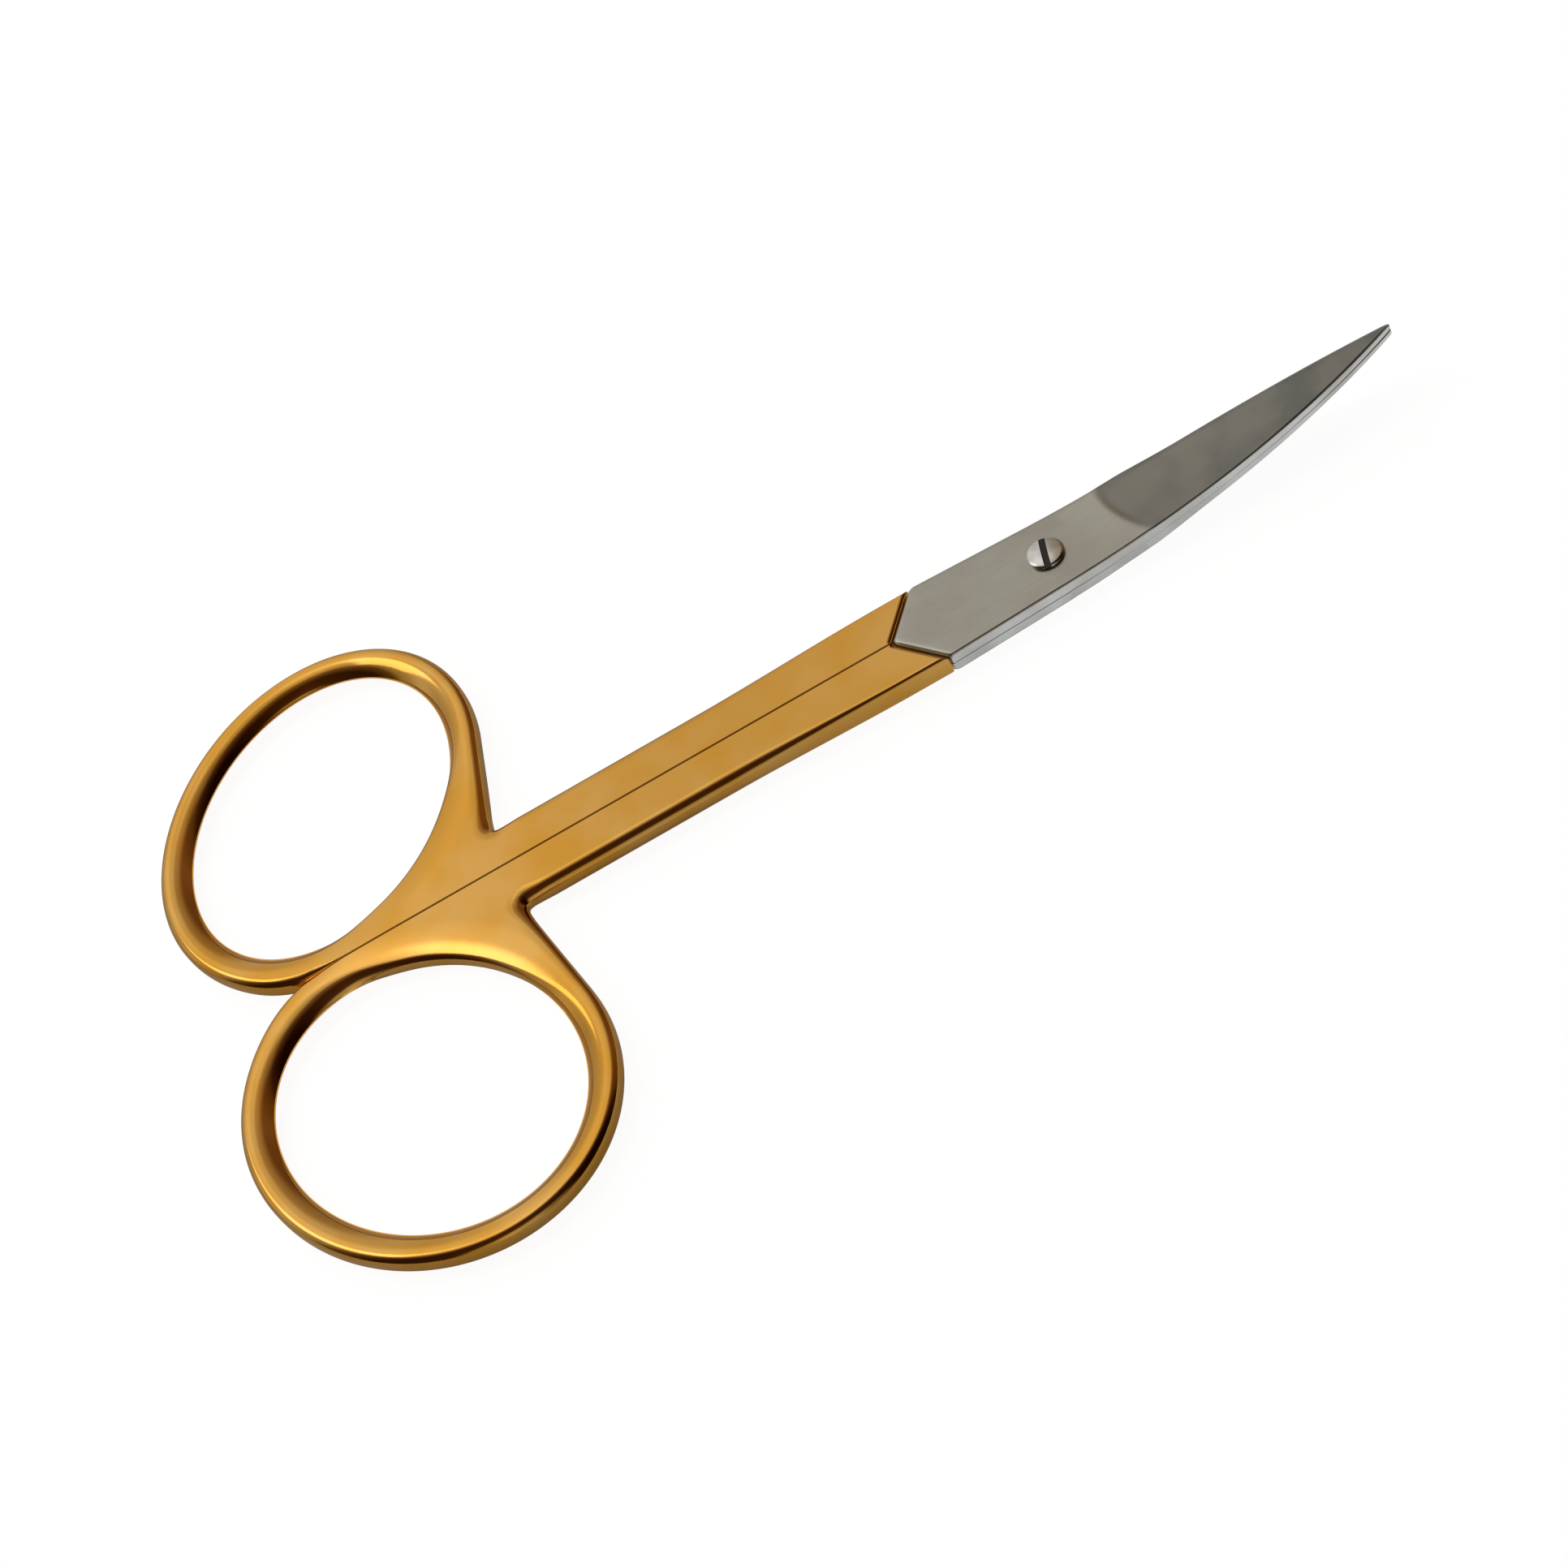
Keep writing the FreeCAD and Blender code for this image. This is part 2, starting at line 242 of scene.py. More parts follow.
def segment_distance(points, start, end):
    """Distance from each point to its own straight segment, and how far along it, from 0 to 1."""
    run = end - start
    along = ((points - start) * run).sum(-1) / np.maximum((run * run).sum(-1), LEAST_SQUARE)
    along = np.clip(along, 0, 1)
    return np.linalg.norm(points - start - along[..., None] * run, axis=-1), along


def to_outline(points, outline, *profiles):
    """Distance from each point to a closed outline, and each profile along it, read at the nearest place."""
    found = []
    for block in np.array_split(points, 1 + len(points) // BLOCK_POINTS):
        near = ((block[:, None, :] - outline[None, :, :]) ** 2).sum(-1).argmin(1)
        before, after = (near - 1) % len(outline), (near + 1) % len(outline)
        gap_ahead, along_ahead = segment_distance(block, outline[near], outline[after])
        gap_behind, along_behind = segment_distance(block, outline[before], outline[near])
        ahead = gap_ahead < gap_behind
        start, end = np.where(ahead, near, before), np.where(ahead, after, near)
        along = np.where(ahead, along_ahead, along_behind)
        read = [profile[start] + along * (profile[end] - profile[start]) for profile in profiles]
        found.append(np.stack([np.minimum(gap_ahead, gap_behind), *read]))
    return np.concatenate(found, axis=1)


def evenly(curve, count):
    """Places spread evenly along a curve that is given by dense points."""
    passed = np.concatenate([[0], np.cumsum(np.linalg.norm(np.diff(curve, axis=0), axis=1))])
    even = np.linspace(0, passed[-1], count)
    return np.stack([np.interp(even, passed, curve[:, 0]), np.interp(even, passed, curve[:, 1])], axis=-1)


def closed_plate(plan, faces, top, bottom):
    """A closed solid over a flat sheet: its top, its bottom turned over, and a wall along each free rim.

    A rim is a directed side that no neighbouring quad runs the other way.
    """
    count = len(plan)
    sides = np.concatenate([faces[:, [0, 1]], faces[:, [1, 2]], faces[:, [2, 3]], faces[:, [3, 0]]])
    keys, back_keys = sides[:, 0] * count + sides[:, 1], sides[:, 1] * count + sides[:, 0]
    rim = sides[~np.isin(keys, back_keys)]
    wall = np.stack([rim[:, 0], rim[:, 0] + count, rim[:, 1] + count, rim[:, 1]], axis=-1)
    points = np.concatenate([np.column_stack([plan, top]), np.column_stack([plan, bottom])])
    return points, np.concatenate([faces, faces[:, ::-1] + count, wall])


def mirrored(points, faces):
    """The same solid on the other side of the parting plane, with its faces turned to point outwards."""
    return points * np.array([1, -1, 1]), faces[:, ::-1]


def lathe(radii, heights, turns):
    """A surface turned about the pivot axis: each place of the profile goes round a circle."""
    around = np.linspace(0, 2 * np.pi, turns, endpoint=False)
    rings = np.stack([
        radii[:, None] * np.cos(around),
        radii[:, None] * np.sin(around),
        np.repeat(heights[:, None], turns, axis=1),
    ], axis=-1)
    index = np.arange(len(radii) * turns).reshape(len(radii), turns)
    index = np.concatenate([index, index[:, :1]], axis=1)
    return rings.reshape(-1, 3), quads(index)[:, ::-1]


def add_piece(name, points, faces, material, node, slot, **attributes):
    """Put a surface into the scene in place of its node, riding on the node's body.

    Each attribute is a mask for the material, with one number for each point or else for each face.
    """
    mesh = bpy.data.meshes.new(name)
    mesh.from_pydata(points.tolist(), [], faces.tolist())
    mesh.validate()
    mesh.shade_smooth()
    mesh.set_sharp_from_angle(angle=SHARP_ANGLE)
    for title, values in attributes.items():
        domain = "POINT" if len(values) == len(points) else "FACE"
        layer = mesh.attributes.new(title, "FLOAT", domain)
        layer.data.foreach_set("value", values.astype(np.float32))
    piece = bpy.data.objects.new(name, mesh)
    bpy.context.scene.collection.objects.link(piece)
    mesh.materials.append(material)
    bodies = frame["record"]["behaviour"]["bodies"]
    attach(piece, next(body for body, nodes in bodies.items() if node in nodes))
    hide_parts(node)


# Handles

# Lines across the shank and across the ring's band
SHANK_LINES, BAND_LINES = 49, 45
# Rows round the ring, along the crotch and along the rest of the shank
RING_ROWS, CROTCH_ROWS, SHANK_ROWS = 261, 91, 131
# Power by which the shank's start flattens out along the middle of the band
START_POWER = 6
# Places along the outlines that the rounding is measured from: the opening and the ring's outer side
OPENING_PLACES, RING_PLACES = 1401, 1400
# Places along the shank's side and again along the crotch, along the front end and along the parting line
SIDE_PLACES, SEAM_PLACES, PARTING_PLACES = 400, 80, 900
# Steps of the search round the ring, and the small turn by which its direction is found
SEARCH_STEPS, NUDGE = 40001, 1e-4
# Steps of the crotch's and the parting line's curves before they are spread evenly
CROTCH_STEPS, PARTING_STEPS = 2001, 101
# Shares of the way to the crotch's corner at which its curve lets go of the ring and of the shank
RING_PULL, SHANK_PULL = 0.45, 0.4
# Place of the heel's swelling before the ring's lowest place, and its spread
HEEL_PLACE, HEEL_SPREAD = math.radians(22), math.radians(22)
# Shares of the way past the shank where the opening's edge is tight, begins to widen and is wide
TIGHT_BY, WIDE_FROM, WIDE_BY = 0.35, 0.7, 1.2
# Distances behind the pivot between which the shank's edge rounding grows
EDGE_FADE = (11 * MILLIMETRE, 25 * MILLIMETRE)
# Shares of the crotch's length between which the ring's rounding comes in
CROTCH_FADE = (0.1, 0.6)
# Place and spread of the crotch's widest rounding, as shares of its length
CORNER_PLACE, CORNER_SPREAD = 0.14, 0.12
# Distance along the parting line over which the ring's rounding ends
PARTING_FADE = 5 * MILLIMETRE
# Half of the straight wall that every rim keeps, and the depth below which a point lies on the rim
WALL_HALF, ON_RIM = 0.02 * MILLIMETRE, 1e-4 * MILLIMETRE


def ring_line(sizes, turns, growth):
    """Points of an ellipse through the middle of the ring's band, pushed out along its normals by growth.

    The ellipse is (a cos t, b sin t), its normal is along (b cos t, a sin t), and it leans with the ring.
    """
    half_long, half_short = (sizes.long + sizes.band) / 2, (sizes.short + sizes.band) / 2
    cosine, sine = np.cos(turns), np.sin(turns)
    normal = np.stack([half_short * cosine, half_long * sine], axis=-1)
    normal /= np.linalg.norm(normal, axis=-1, keepdims=True)
    point = np.stack([half_long * cosine, half_short * sine], axis=-1) + growth[..., None] * normal
    level, upright = math.cos(sizes.lean), math.sin(sizes.lean)
    lean = np.array([[level, upright], [-upright, level]])
    return point @ lean + np.array([-sizes.reach, sizes.offset])


def outer_growth(sizes, turns):
    """Half the band's width, with a smooth swelling at the heel, where the closed rings touch."""
    lowest = math.radians(-90) - sizes.lean
    away = np.angle(np.exp(1j * (turns - lowest + HEEL_PLACE)))
    return sizes.band / 2 + sizes.heel * np.exp(-(away / HEEL_SPREAD) ** 2)


def ring_ends(sizes):
    """Angles on the ring's outer line where the shank's two sides leave it.

    The parting side leaves just before the far crossing of the parting line, and the crotch side where the
    outer line, on its way up the side nearer the pivot, passes the height of the flank.
    """
    turns = np.linspace(-2 * np.pi, 0, SEARCH_STEPS)
    line = ring_line(sizes, turns, outer_growth(sizes, turns))
    lowest = line[:, 1].argmin()
    touch = np.arange(lowest)[line[:lowest, 1] > sizes.gap / 2 + sizes.ease].max()
    flank = np.arange(lowest, len(turns))[line[lowest:, 1] > sizes.flank].min()
    return turns[touch], turns[flank]


def seam_ends(sizes):
    """The handle's two corners at the chevron seam: on the shank's outer side and on the parting line."""
    outer = np.array([sizes.seam_run - sizes.seam, sizes.width])
    return outer, np.array([-sizes.seam, sizes.gap / 2])


def crotch_line(sizes, flank, count):
    """Curve from the ring's flank, leaving along the ring, tightly round the crotch to the shank's side.

    It is a Bezier curve of the sixth degree whose three middle points all lie on the crotch's corner,
    with its places spread evenly along it.
    """
    turns = np.array([flank, flank - NUDGE])
    start, next_place = ring_line(sizes, turns, outer_growth(sizes, turns))
    leave = (next_place - start) / np.linalg.norm(next_place - start)
    corner = np.array([-sizes.crotch, sizes.width])
    end = corner + np.array([sizes.crotch_run, 0])
    pull = RING_PULL * np.linalg.norm(corner - start)
    hold = [start, start + pull * leave, corner, corner, corner, corner + SHANK_PULL * (end - corner), end]
    degree = len(hold) - 1
    t = np.linspace(0, 1, CROTCH_STEPS)[:, None]
    weights = [math.comb(degree, k) * t ** k * (1 - t) ** (degree - k) for k in range(degree + 1)]
    curve = sum(weight * place for weight, place in zip(weights, hold))
    return evenly(curve, count)


def parting_line(sizes, touch, end, count):
    """Curve from where the rings touch, leaving along the ring, round a soft corner to the parting line.

    The corner is a Bezier curve of the second degree, and the places are spread evenly along the whole.
    """
    turns = np.array([touch, touch + NUDGE])
    start, next_place = ring_line(sizes, turns, outer_growth(sizes, turns))
    leave = next_place - start
    corner = start + leave * (sizes.gap / 2 - start[1]) / leave[1]
    joined = corner + np.array([np.linalg.norm(corner - start), 0])
    t = np.linspace(0, 1, PARTING_STEPS)[:, None]
    curve = (1 - t) ** 2 * start + 2 * t * (1 - t) * corner + t * t * joined
    return evenly(np.concatenate([curve, end[None]]), count)


def handle_plan(sizes):
    """Plan of the upper handle as one sheet of quads.

    The ring is a grid of places round it and steps across its band. The shank is a grid of straight
    mixes of its two long sides. It starts on the ring's own rim, drawn in towards the middle of the
    band between the two places where the shank leaves it, and the rim's bulge fades out on the flare.
    """
    touch, flank = ring_ends(sizes)
    across = crowded(SHANK_LINES)
    sector = touch + (flank - touch) * across
    round_back = np.linspace(flank, touch + 2 * np.pi, RING_ROWS)[1:-1]
    turns = np.concatenate([sector, round_back])
    inset = np.zeros_like(turns)
    inset[:len(sector)] = 0.5 * sizes.band * (1 - (1 - 2 * across) ** START_POWER)
    reach = outer_growth(sizes, turns) - inset
    band = crowded(BAND_LINES)
    growth = -sizes.band / 2 + (reach + sizes.band / 2)[:, None] * band
    ring = ring_line(sizes, np.repeat(turns[:, None], len(band), axis=1), growth)
    ring_index = np.arange(ring[..., 0].size).reshape(ring.shape[:2])
    ring_loop = np.concatenate([ring_index, ring_index[:1]])

    rim = ring[:len(sector), -1][::-1]
    near, far = np.linspace(0, 1, CROTCH_ROWS), 1 - (1 - np.linspace(0, 1, SHANK_ROWS)[1:]) ** 2
    seam_outer, seam_inner = seam_ends(sizes)
    curve = crotch_line(sizes, flank, len(near))
    left = np.concatenate([curve, curve[-1] + far[:, None] * (seam_outer - curve[-1])])
    halfway = np.array([curve[-1, 0] - sizes.width / 2, sizes.gap / 2])
    right = np.concatenate([
        parting_line(sizes, touch, halfway, len(near)),
        halfway + far[:, None] * (seam_inner - halfway),
    ])
    u = across[None, :, None]
    fade = np.concatenate([1 - near, np.zeros_like(far)])[:, None, None]
    bulge = rim - (1 - across[:, None]) * rim[0] - across[:, None] * rim[-1]
    shank = (1 - u) * left[:, None] + u * right[:, None] + fade * bulge[None]
    shank_index = ring_index.size + np.arange((len(left) - 1) * len(across)).reshape(-1, len(across))
    shank_index = np.concatenate([ring_index[:len(sector), -1][::-1][None], shank_index])

    plan = np.concatenate([ring.reshape(-1, 2), shank[1:].reshape(-1, 2)])
    return plan, np.concatenate([quads(ring_loop), quads(shank_index)])[:, ::-1]


def handle_outlines(sizes):
    """The opening's and the outer side's outlines as dense closed lines.

    Each comes with the rounding along it, how far the face sinks towards it, and how far from it the
    sinking begins. The rounding is wide towards the finger and tight beside the shank. On the outer side
    it grows along the shank, is widest at the crotch's corner, and keeps one width round the ring.
    """
    touch, flank = ring_ends(sizes)
    inner, outer = sizes.inner_round, sizes.outer_round
    turns = np.linspace(touch, touch + 2 * np.pi, OPENING_PLACES)[:-1]
    opening = ring_line(sizes, turns, np.full_like(turns, -sizes.band / 2))
    spread = flank - touch
    place = turns - touch
    tight = smooth(place, 0, TIGHT_BY * spread) * (1 - smooth(place, WIDE_FROM * spread, WIDE_BY * spread))
    opening_rounding = inner + (sizes.inner_edge - inner) * tight

    outer_turns = np.linspace(flank, touch + 2 * np.pi, RING_PLACES)
    ring = ring_line(sizes, outer_turns, outer_growth(sizes, outer_turns))
    crotch = crotch_line(sizes, flank, SIDE_PLACES)[::-1]
    seam_outer, seam_inner = seam_ends(sizes)
    side = np.linspace(seam_outer, crotch[0], SIDE_PLACES)[:-1]
    rearward = smooth(-side[:, 0], *EDGE_FADE)
    side_rounding = sizes.edge + (sizes.edge_rear - sizes.edge) * rearward
    front = np.linspace(seam_inner, seam_outer, SEAM_PLACES)[:-1]
    parting = parting_line(sizes, touch, seam_inner, PARTING_PLACES)[1:-1]
    outline = np.concatenate([front, side, crotch[:-1], ring, parting])
    along = np.linspace(0, 1, len(crotch) - 1)
    climb = smooth(along, *CROTCH_FADE)
    crotch_rounding = sizes.edge_rear + (outer - sizes.edge_rear) * climb
    widest = np.exp(-((along - CORNER_PLACE) / CORNER_SPREAD) ** 2)
    crotch_rounding += (sizes.crotch_round - sizes.edge_rear) * widest
    leaving = 1 - smooth(parting[:, 0] - ring[-1, 0], 0, PARTING_FADE)
    parting_rounding = sizes.parting_edge + (outer - sizes.parting_edge) * leaving ** 2
    rounding = np.concatenate([
        np.full(len(front), sizes.seam_edge),
        side_rounding,
        crotch_rounding,
        np.full(len(ring), outer),
        parting_rounding,
    ])
    shed = np.concatenate([np.zeros(len(front) + len(side)), climb, np.ones(len(ring)), leaving ** 2])
    return (
        (opening, opening_rounding, np.full(len(opening), sizes.crown), sizes.crown_reach),
        (outline, rounding, shed * sizes.shed, sizes.shed_reach),
    )


def handle_surface(sizes):
    """The upper handle: a flat plate whose rims roll off as quarter ellipses.

    The face also sinks a little towards the finger opening, and on the ring towards its outer side, each
    as a parabola of the distance from it.
    """
    plan, faces = handle_plan(sizes)
    most = sizes.thickness / 2 - WALL_HALF
    drop = np.zeros(len(plan))
    for line, radii, sinks, sink_reach in handle_outlines(sizes):
        depth, radius, sink = to_outline(plan, line, radii, sinks)
        depth = np.where(depth < ON_RIM, 0, depth)
        drop += roll_off(depth, radius, np.minimum(radius, most))
        drop += sink * np.clip(1 - depth / sink_reach, 0, 1) ** 2
    drop = np.minimum(drop, most)
    return closed_plate(plan, faces, sizes.thickness - drop, drop)


# Blades

# Lines beside the spine and the cutting edge, as shares of the spine's rounding and of the bevel's width
SPINE_LINES = np.array([0, 0.03, 0.1, 0.23, 0.4, 0.67, 1])
EDGE_LINES = np.array([1.04, 0.96, 0.5, 0.04, 0])
# Steps across the face between those lines
FACE_STEPS = 27
# Rows just ahead of the chevron, close together where its edge rolls off, and steps on from there
REAR_ROWS = np.array([0, 0.004, 0.016, 0.04, 0.08, 0.13, 0.2, 0.28, 0.4]) * MILLIMETRE
REAR_STEPS = 15
# Starts of the stretches ahead of that, the last on to the tip, and the steps in each
STRETCH_STARTS = np.array([-6, 3, 9, 22]) * MILLIMETRE
STRETCH_STEPS = (31, 61, 61, 61)
# Width under which a blade's lines draw together, and the least share that they keep
FULL_WIDTH, LEAST_SHARE = 1.6 * MILLIMETRE, 0.004
# Width that stands in for none at the very tip
LEAST_WIDTH = 1e-6
# Length of the rounded tip, and how much of its quarter circle is used
TIP_ROUND, TIP_TURN = 0.35 * MILLIMETRE, 0.97
# Slant and curve of the shoulder line, and the length over which the grinding comes in
SHOULDER_SLANT, SHOULDER_CURVE, GRIND_FADE = 0.3, 0.05, 0.7 * MILLIMETRE
# Power that flattens the hollow's parabola
HOLLOW_POWER = 0.7
# Distances ahead of the pivot between which the hollow ends
HOLLOW_END = (12 * MILLIMETRE, 20 * MILLIMETRE)
# Distances between which the joint's rounded edge ends and the cutting bevel begins
EDGE_END, BEVEL_START = (4 * MILLIMETRE, 7 * MILLIMETRE), (5 * MILLIMETRE, 11 * MILLIMETRE)
# Distances between which the painted shade on the ground face grows to full, and its share of that before
SHADE_FADE, FIRST_SHADE = (13 * MILLIMETRE, 24 * MILLIMETRE), 0.82


def side_width(sizes, x, extra, end):
    """Distance from the middle line to a blade's side: straight as far as the waist, then a power curve.

    The last stretch turns in as a quarter circle, so that the tip is rounded.
    """
    handle = bpy.context.scene.scissors_handles
    corner = handle.seam_run - handle.seam
    slope = (sizes.half - handle.width) / (sizes.waist - corner)
    run = sizes.reach - sizes.waist
    past = np.clip((x - sizes.waist) / run, 0, 1)
    level = handle.width + slope * (x - corner) + extra * smooth(x, 0, sizes.waist)
    close = handle.width + slope * (sizes.reach - corner) + extra - end
    turned = np.clip((x - sizes.reach) / TIP_ROUND + 1, 0, TIP_TURN)
    tip = (sizes.blunt - sizes.tip) * (1 - np.sqrt(1 - turned * turned))
    return level - close * past ** sizes.taper - tip


def spine_width(sizes, x):
    """Distance from the middle line to the spine."""
    return side_width(sizes, x, sizes.extra, sizes.blunt - sizes.tip)


def edge_width(sizes, x):
    """Distance from the middle line to the cutting edge."""
    return side_width(sizes, x, 0, sizes.blunt + sizes.tip)


def bend_share(sizes, x, y):
    """How far past the bend's start a place lies from the pivot, as a length and as a share of the whole."""
    past = np.where(x > 0, np.maximum(np.hypot(x, y) - sizes.bend, 0), 0)
    return past, np.minimum(past / (sizes.reach - sizes.bend), 1)


def rise(sizes, x, y):
    """Height of the upward bend: a hyperbola for the kick, and a parabola that brings the tip to its lift."""
    past, part = bend_share(sizes, x, y)
    whole = sizes.reach - sizes.bend
    kick = sizes.kick * (np.hypot(past, sizes.soften) - sizes.soften)
    last = sizes.kick * (math.hypot(whole, sizes.soften) - sizes.soften)
    return kick + (sizes.lift - last) * part * part


def chevron_line(sizes, y):
    """Where a blade starts behind the pivot, and the slope of the chevron's arms.

    It starts a seam's width ahead of its own handle, and the stop's gap further ahead of the other one.
    """
    handle = bpy.context.scene.scissors_handles
    slope = handle.seam_run / (handle.width - handle.gap / 2)
    arms = -handle.seam + np.maximum(np.abs(y) - handle.gap / 2, 0) * slope
    return arms + sizes.seam + sizes.stop * (1 - smooth(y, -handle.gap / 2, handle.gap / 2)), slope


def drawn_in(width):
    """Share by which lines draw together on a narrow stretch of the blade."""
    return np.clip(width / FULL_WIDTH, LEAST_SHARE, 1)


def blade_lines(sizes, x):
    """Lines across a blade at each x, from spine to edge, at steady distances from both."""
    from_spine, from_edge = SPINE_LINES * sizes.round, EDGE_LINES * sizes.bevel
    middle = np.linspace(0, 1, FACE_STEPS)[1:-1]
    spine = -spine_width(sizes, x)[:, None]
    edge = edge_width(sizes, x)[:, None]
    squeeze = drawn_in(edge - spine)
    low, high = spine + from_spine[-1] * squeeze, edge - from_edge[0] * squeeze
    face = low + middle * (high - low)
    return np.concatenate([spine + from_spine * squeeze, face, edge - from_edge * squeeze], axis=1)


def blade_plan(sizes):
    """Plan of a blade with its cutting edge towards +Y: rows along it, and lines across from spine to edge.

    The rear rows follow the chevron, and the rows ahead of them run straight across.
    """
    handle = bpy.context.scene.scissors_handles
    ends = [*STRETCH_STARTS, sizes.reach]
    stretches = zip(ends, ends[1:], STRETCH_STEPS)
    ahead = np.concatenate([np.linspace(low, high, steps)[1:] for low, high, steps in stretches])
    rear_y = blade_lines(sizes, np.array([handle.seam_run - handle.seam]))[0]
    rear = np.stack([chevron_line(sizes, rear_y)[0], rear_y], axis=-1)
    start = np.stack([np.full_like(rear_y, ends[0]), blade_lines(sizes, np.array(ends[:1]))[0]], axis=-1)
    ease = REAR_ROWS[:, None, None] / (start - rear)[None, :, :1]
    first = rear[None] + ease * (start - rear)[None]
    second = first[-1] + np.linspace(0, 1, REAR_STEPS)[1:, None, None] * (start - first[-1])
    body = np.stack([np.repeat(ahead[:, None], len(rear_y), axis=1), blade_lines(sizes, ahead)], axis=-1)
    grid = np.concatenate([first, second, body])
    index = np.arange(grid[..., 0].size).reshape(grid.shape[:2])
    return grid, quads(index)


def blade_depths(sizes, grid):
    """Distances of a blade's places from its spine, its cutting edge and the chevron behind it."""
    x, y = grid[..., 0], grid[..., 1]
    spine = y + spine_width(sizes, x)
    edge = edge_width(sizes, x) - y
    chevron, slope = chevron_line(sizes, y)
    return np.maximum(spine, 0), np.maximum(edge, 0), np.maximum(x - chevron, 0) / math.hypot(1, slope)


def blade_surface(sizes, side):
    """A blade, with a mask of its ground face, 0 on the flat joint and up to 1 ahead, which also sets its
    painted shade, and a mask of its walls, which get a painted reflection.

    The outer face is the level of the joint plus the bend, less the rolled spine edge, the chevron's
    edge, the cutting bevel and a shallow hollow that starts at the shoulder line.
    """
    handle = bpy.context.scene.scissors_handles
    grid, sheet = blade_plan(sizes)
    x, y = grid[..., 0], grid[..., 1]
    spine, edge, chevron = blade_depths(sizes, grid)
    plate = (handle.thickness - sizes.gap) / 2 - (sizes.proud if side == LOWER else 0)
    slide = handle.thickness / 2 + side * sizes.gap / 2 + rise(sizes, x, y)
    outer = slide + side * (plate + (sizes.thin - plate) * bend_share(sizes, x, y)[1])
    shoulder = sizes.shoulder - SHOULDER_SLANT * y + SHOULDER_CURVE * (y / MILLIMETRE) ** 2 * MILLIMETRE
    ground = smooth(x - shoulder, 0, GRIND_FADE)
    # Painted shade: the ground face's mask grows towards the tip, darkening it more there
    shade = ground * (FIRST_SHADE + (1 - FIRST_SHADE) * smooth(x, *SHADE_FADE))
    width = np.maximum(spine + edge, LEAST_WIDTH)
    dish = sizes.hollow * ground * (4 * spine * edge / (width * width)) ** HOLLOW_POWER
    dish = dish * (1 - smooth(x, *HOLLOW_END))
    bevel = np.clip(1 - edge / sizes.bevel, 0, 1) * sizes.bevel_drop * smooth(x, *BEVEL_START)
    level_edge = roll_off(edge, sizes.round, sizes.round) * (1 - smooth(x, *EDGE_END))
    cut = roll_off(spine, sizes.round * drawn_in(width), sizes.round) + bevel + dish + level_edge
    cut = cut + roll_off(chevron, handle.seam_edge, handle.seam_edge)
    outer = outer - side * cut
    top, bottom = (outer, slide) if side == UPPER else (slide, outer)
    points, faces = closed_plate(grid.reshape(-1, 2), sheet, top.ravel(), bottom.ravel())
    unground = np.zeros(shade.size)
    # Mask of the ground face, which also sets its painted shade, on the blade's outer side
    mask = np.concatenate([shade.ravel(), unground] if side == UPPER else [unground, shade.ravel()])
    if side == LOWER:
        points, faces = mirrored(points, faces)
    walls = np.arange(len(faces)) >= 2 * len(sheet)
    return points, faces, mask, walls


# Screw

# Chords on each side of the slot, places along a chord, and places round the shank
CHORDS, CHORD_PLACES, SHANK_PLACES = 31, 61, 96
# Angle of the last chord, just short of the head's own edge
LAST_CHORD = 0.4998 * np.pi
# Lean of the slot's walls
SLOT_LIP = 0.012 * MILLIMETRE
# Rounding of the head's rim, across and down, and of the shank's end
RIM_ROUND, RIM_FALL, END_EASE = 0.16 * MILLIMETRE, 0.14 * MILLIMETRE, 0.05 * MILLIMETRE
# Radius of the pinhole that the shank's two ends keep at the axis
LEAST_RADIUS = 1e-6


def screw_surface(sizes, thickness):
    """The slotted head over chords that run along the slot, a plain shank below it, and a mask of the slot
    for its painted shade.

    The crown is a paraboloid whose rim rolls off, and the slot is a straight trench with steep walls.
    A place lies p along the slot and q across it.
    """
    radius = sizes.head / 2
    half = sizes.slot / 2
    bank = radius * np.sin(np.linspace(math.asin((half + SLOT_LIP) / radius), LAST_CHORD, CHORDS))
    across = np.concatenate([-bank[::-1], [-half, -half / 2, 0, half / 2, half], bank])
    along = np.sin(np.linspace(-0.5, 0.5, CHORD_PLACES) * np.pi)
    chord = np.sqrt(radius * radius - across * across)
    p, q = chord[:, None] * along[None], np.repeat(across[:, None], len(along), axis=1)
    away = np.hypot(p, q)
    seat = thickness + sizes.clearance
    crown = seat + sizes.rim + sizes.crown * (1 - (away / radius) ** 2)
    crown = crown - roll_off(radius - away, RIM_ROUND, RIM_FALL)
    trench = seat + sizes.rim + sizes.crown - sizes.slot_depth
    inside = np.abs(q) <= half
    top = np.where(inside, np.minimum(trench, crown), crown)
    cosine, sine = math.cos(sizes.turn), math.sin(sizes.turn)
    plan = np.stack([p * cosine - q * sine, p * sine + q * cosine], axis=-1).reshape(-1, 2)
    index = np.arange(p.size).reshape(p.shape)
    points, faces = closed_plate(plan, quads(index)[:, ::-1], top.ravel(), np.full(p.size, seat))
    shank = sizes.shank / 2
    radii = np.array([LEAST_RADIUS, shank - END_EASE, shank, shank, shank, LEAST_RADIUS])
    heights = np.array([0, 0, END_EASE, thickness / 2, seat + END_EASE, seat + END_EASE])
    shank_points, shank_faces = lathe(radii, heights, SHANK_PLACES)
    slot = np.concatenate([inside.ravel(), np.zeros(p.size + len(shank_points))])
    return np.concatenate([points, shank_points]), np.concatenate([faces, shank_faces + len(points)]), slot


# Materials

# Stretches of the noise that are spread from 0 to 1 for the fine scratches and the slow drifts
SCRATCH_STRETCH, DRIFT_STRETCH = (0.3, 0.7), (0.35, 0.65)
# Height of all tool marks
MARK_HEIGHT = 0.01 * MILLIMETRE
# Direction of the grinding across the blades
CROSS_TURN = math.radians(78)
# Darkest and palest tone of the blades' lines, and how much the drifts warm the steel at most
LINE_TONES, WARM_SHARE = (0.86, 1.08), 0.35
